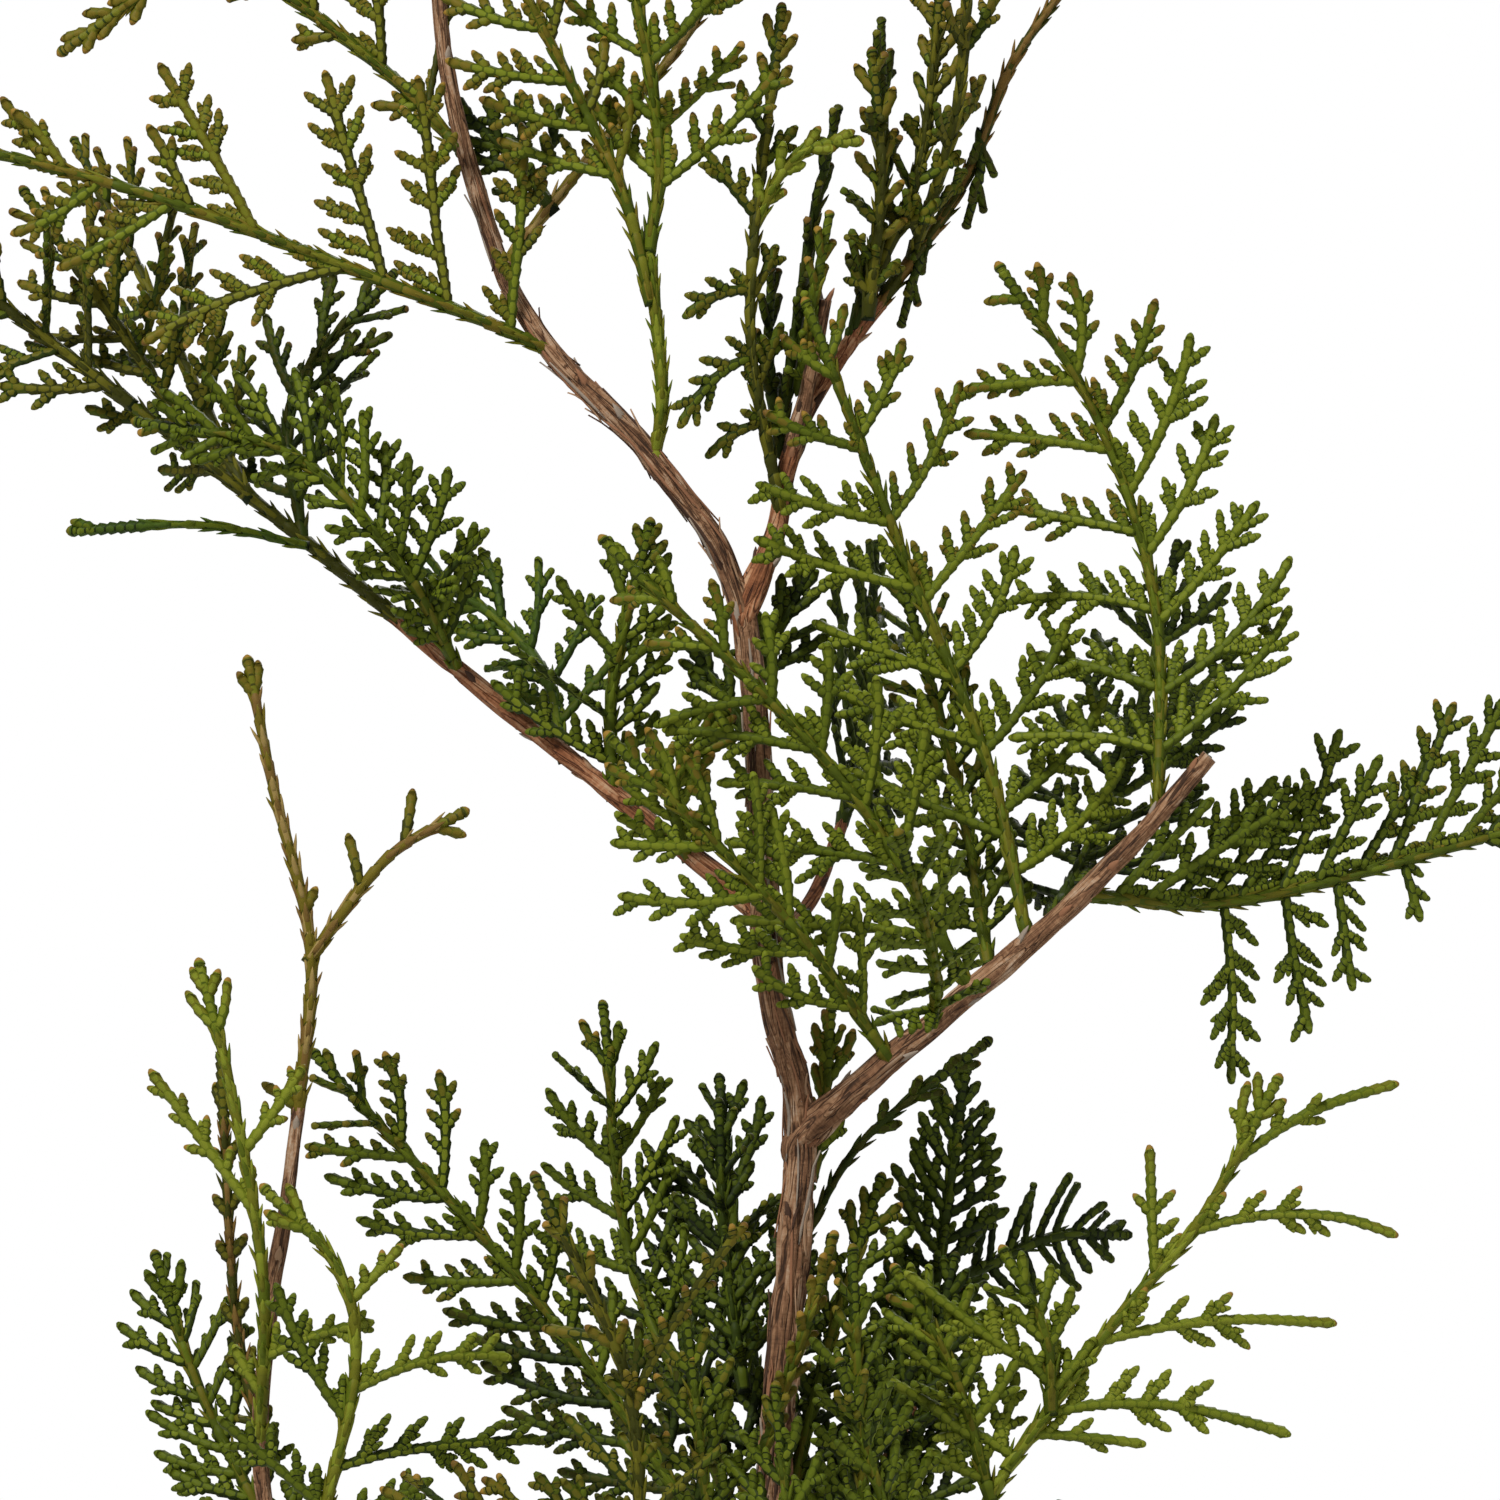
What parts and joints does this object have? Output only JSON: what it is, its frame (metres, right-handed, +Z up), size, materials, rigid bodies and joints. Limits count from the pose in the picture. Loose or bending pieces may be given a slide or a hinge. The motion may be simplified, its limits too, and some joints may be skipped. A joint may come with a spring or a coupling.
{
  "type": "young brabant arborvitae",
  "caption": "Young evergreen shrub rooted in the ground: a forked brown trunk, slim boughs and flat sprays of small scale leaves.",
  "frame": {"origin": "centre of the trunk's flat cut at ground level", "axes": "+Z up along the trunk, +X to the right and -Y towards the viewer in the picture"},
  "size_m": [0.2733, 0.1418, 0.55],
  "materials": {
    "brown_bark": "fibrous, matte",
    "green_bark": "smooth, satin",
    "bright_foliage": "satin",
    "green_foliage": "satin",
    "shaded_foliage": "satin",
    "bronzed_foliage": "satin"
  },
  "bodies": {
    "root": {"trunk": "brown_bark", "right_bough": "brown_bark", "left_bough": "brown_bark", "right_leader": "brown_bark", "pruned_stub": "brown_bark", "crossing_branch": "brown_bark", "green_shoot": "green_bark", "back_bough": "brown_bark", "left_low_bough": "brown_bark", "right_low_bough": "brown_bark", "front_low_bough": "brown_bark", "back_low_bough": "brown_bark", "near_left_low_bough": "brown_bark", "right_inner_spray": "bright_foliage", "right_crossing_spray": "bright_foliage", "right_middle_spray": "bright_foliage", "right_outer_spray": "bright_foliage", "right_reaching_spray": "green_foliage", "right_back_spray": "shaded_foliage", "left_inner_spray": "green_foliage", "left_middle_spray": "green_foliage", "left_back_spray": "green_foliage", "left_bright_spray": "bright_foliage", "left_dark_spray": "shaded_foliage", "left_upright_spray": "bronzed_foliage", "left_far_spray": "bronzed_foliage", "left_bough_tip": "bronzed_foliage", "upper_left_spray": "green_foliage", "top_left_spray": "bronzed_foliage", "green_shoot_left_spray": "bright_foliage", "green_shoot_tip": "bright_foliage", "centre_spray": "shaded_foliage", "leader_inner_spray": "bronzed_foliage", "leader_outer_spray": "bronzed_foliage", "right_leader_tip": "bronzed_foliage", "crossing_branch_tip": "bronzed_foliage", "trunk_tip_spray": "bronzed_foliage", "trunk_top_left_spray": "green_foliage", "trunk_top_right_spray": "green_foliage", "back_bough_spray": "shaded_foliage", "front_spray": "bright_foliage", "left_shoot_tip": "bronzed_foliage", "left_green_shoot": "bright_foliage", "left_edge_spray": "green_foliage", "near_left_spray": "bright_foliage", "mid_left_spray": "green_foliage", "behind_left_spray": "green_foliage", "behind_trunk_spray": "shaded_foliage", "behind_right_spray": "shaded_foliage", "back_low_spray": "shaded_foliage", "front_low_spray": "bright_foliage", "right_low_spray": "bright_foliage", "near_right_spray": "bright_foliage", "lowest_spray_1": "green_foliage", "lowest_spray_2": "green_foliage", "lowest_spray_3": "green_foliage", "lowest_spray_4": "green_foliage", "lowest_spray_5": "green_foliage", "lowest_spray_6": "green_foliage", "lowest_spray_7": "green_foliage"}
  },
  "joints": []
}
